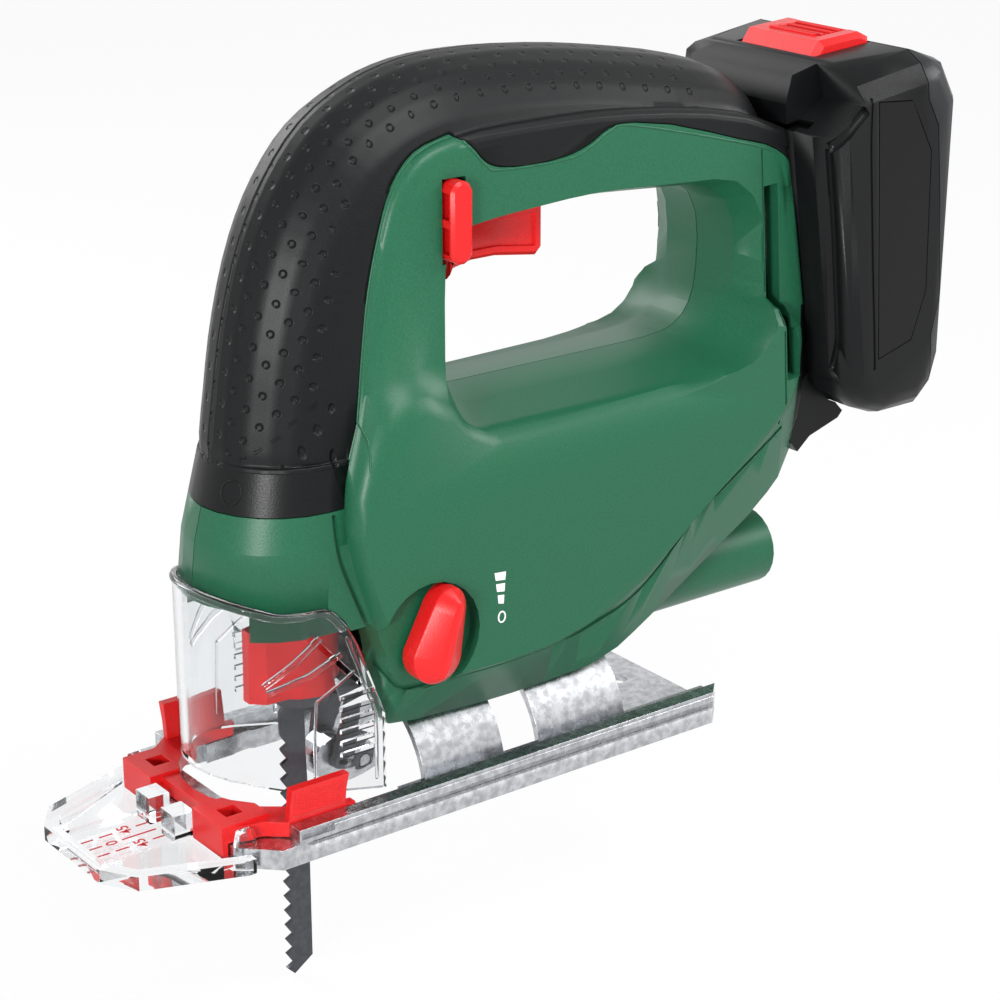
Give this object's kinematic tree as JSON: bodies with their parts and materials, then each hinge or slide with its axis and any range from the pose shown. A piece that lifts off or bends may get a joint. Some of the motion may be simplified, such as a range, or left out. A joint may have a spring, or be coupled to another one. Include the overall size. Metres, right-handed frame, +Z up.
{
  "type": "cordless jigsaw",
  "caption": "Cordless jigsaw with a closed handle, tilting sole, clear chip guard, clip-on cut guide with sight window, orbit knob and a slide-on battery pack.",
  "frame": {"origin": "on the axis of the blade's plunger, in the plane of the sole's underside", "axes": "+X is the cutting direction, +Y points to the tool's left side, +Z points up from the work to the handle"},
  "size_m": [0.2681, 0.0746, 0.2468],
  "materials": {
    "green_plastic": "fine leather-grained moulded plastic, satin",
    "soft_grip": "matt overmoulded soft grip with shallow dimples",
    "black_plastic": "satin moulded plastic",
    "gloss_black": "polished bare panel",
    "red_plastic": "semi-gloss moulded plastic",
    "clear_plastic": "clear polycarbonate",
    "steel": "galvanised or ground steel",
    "dark_steel": "dark oxide steel",
    "bronze": "sintered bronze",
    "winding": "enamelled copper winding on a laminated core",
    "board": "glass-fibre circuit board",
    "cell": "sleeved round cells, density as a lithium cell"
  },
  "bodies": {
    "tool_body": {"left_housing": "green_plastic", "right_housing": "green_plastic", "left_grip": "soft_grip", "right_grip": "soft_grip", "nose_collar": "black_plastic", "housing_screw_1": "dark_steel", "housing_screw_2": "dark_steel", "housing_screw_3": "dark_steel", "housing_screw_4": "dark_steel", "housing_screw_5": "dark_steel", "housing_screw_6": "dark_steel", "dust_tube": "green_plastic", "motor_can": "steel", "motor_end_bell": "black_plastic", "gear_frame": "steel", "shaft_bearing": "steel", "upper_bush": "bronze", "lower_bush": "bronze", "crank_axle": "steel", "switch_module": "black_plastic", "control_board": "board", "clamp_bolt": "dark_steel", "clamp_plate": "steel", "fork_pin": "steel", "battery_mount": "black_plastic", "contact_block": "bronze"},
    "rotor": {"motor_shaft": "steel", "armature": "winding", "commutator": "bronze", "cooling_fan": "black_plastic", "pinion": "steel"},
    "crank": {"crank_gear": "steel", "crank_roller": "steel", "counterweight": "dark_steel"},
    "plunger": {"plunger_rod": "steel", "plunger_yoke": "dark_steel", "blade_clamp": "dark_steel", "saw_blade": "dark_steel"},
    "clamp_lever": {"release_lever": "red_plastic"},
    "support_fork": {"guide_fork": "dark_steel", "roller_pin": "steel"},
    "support_roller": {"guide_roller": "steel"},
    "orbit_selector": {"orbit_knob": "red_plastic", "orbit_shaft": "steel"},
    "sole": {"sole_plate": "steel"},
    "cut_guide": {"guide_frame": "red_plastic", "sight_window": "clear_plastic"},
    "guard": {"chip_guard": "clear_plastic"},
    "switch_trigger": {"trigger": "red_plastic"},
    "lock_bar": {"lock_off_bar": "red_plastic"},
    "battery_pack": {"battery_inner_case": "black_plastic", "battery_outer_case": "black_plastic", "battery_cells": "cell", "battery_board": "board", "left_label_panel": "gloss_black", "right_label_panel": "gloss_black"},
    "pack_button": {"battery_button": "red_plastic"}
  },
  "joints": [
    {"name": "rotor_spin", "type": "hinge", "parent": "tool_body", "child": "rotor", "pos_m": [-0.06, 0, 0.06], "axis": [1, 0, 0], "continuous": true},
    {"name": "crank_spin", "type": "hinge", "parent": "tool_body", "child": "crank", "pos_m": [-0.019, 0, 0.08475], "axis": [1, 0, 0], "continuous": true},
    {"name": "blade_stroke", "type": "slide", "parent": "tool_body", "child": "plunger", "axis": [0, 0, 1], "range_m": [-0.01, 0.01]},
    {"name": "lever_turn", "type": "hinge", "parent": "plunger", "child": "clamp_lever", "pos_m": [0, 0, 0.04], "axis": [0, 0, 1], "range_deg": [0, 25], "stiffness_Nm_per_rad": 0.02, "springref_deg": -8.59},
    {"name": "fork_swing", "type": "hinge", "parent": "tool_body", "child": "support_fork", "pos_m": [-0.015, 0, 0.038], "axis": [0, 1, 0], "range_deg": [0, 2.5]},
    {"name": "roller_spin", "type": "hinge", "parent": "support_fork", "child": "support_roller", "pos_m": [-0.0086, 0, 0.0074], "axis": [0, 1, 0], "continuous": true},
    {"name": "orbit_turn", "type": "hinge", "parent": "tool_body", "child": "orbit_selector", "pos_m": [-0.021, 0.03, 0.048], "axis": [0, 1, 0], "range_deg": [0, 90]},
    {"name": "sole_tilt", "type": "hinge", "parent": "tool_body", "child": "sole", "pos_m": [-0.055, 0, 0], "axis": [1, 0, 0], "range_deg": [-5, 5]},
    {"name": "guide_slide", "type": "slide", "parent": "sole", "child": "cut_guide", "axis": [1, 0, 0], "range_m": [0, 0.02]},
    {"name": "guard_slide", "type": "slide", "parent": "tool_body", "child": "guard", "axis": [1, 0, 0], "range_m": [0, 0.006]},
    {"name": "trigger_pull", "type": "slide", "parent": "tool_body", "child": "switch_trigger", "axis": [0, 0, 1], "range_m": [0, 0.006], "stiffness_N_per_m": 300, "springref_m": -0.004},
    {"name": "lock_slide", "type": "slide", "parent": "tool_body", "child": "lock_bar", "axis": [0, 1, 0], "range_m": [-0.0025, 0.0025], "stiffness_N_per_m": 400},
    {"name": "pack_slide", "type": "slide", "parent": "tool_body", "child": "battery_pack", "axis": [0.1495, 0, 0.9888], "range_m": [0, 0.09]},
    {"name": "button_press", "type": "slide", "parent": "battery_pack", "child": "pack_button", "axis": [-0.1495, 0, -0.9888], "range_m": [0, 0.003], "stiffness_N_per_m": 400, "springref_m": -0.002}
  ],
  "couplings": [
    {"joint": "crank_spin", "follows": "rotor_spin", "ratio": -0.22222},
    {"joint": "fork_swing", "follows": "orbit_turn", "ratio": 0.0277}
  ]
}
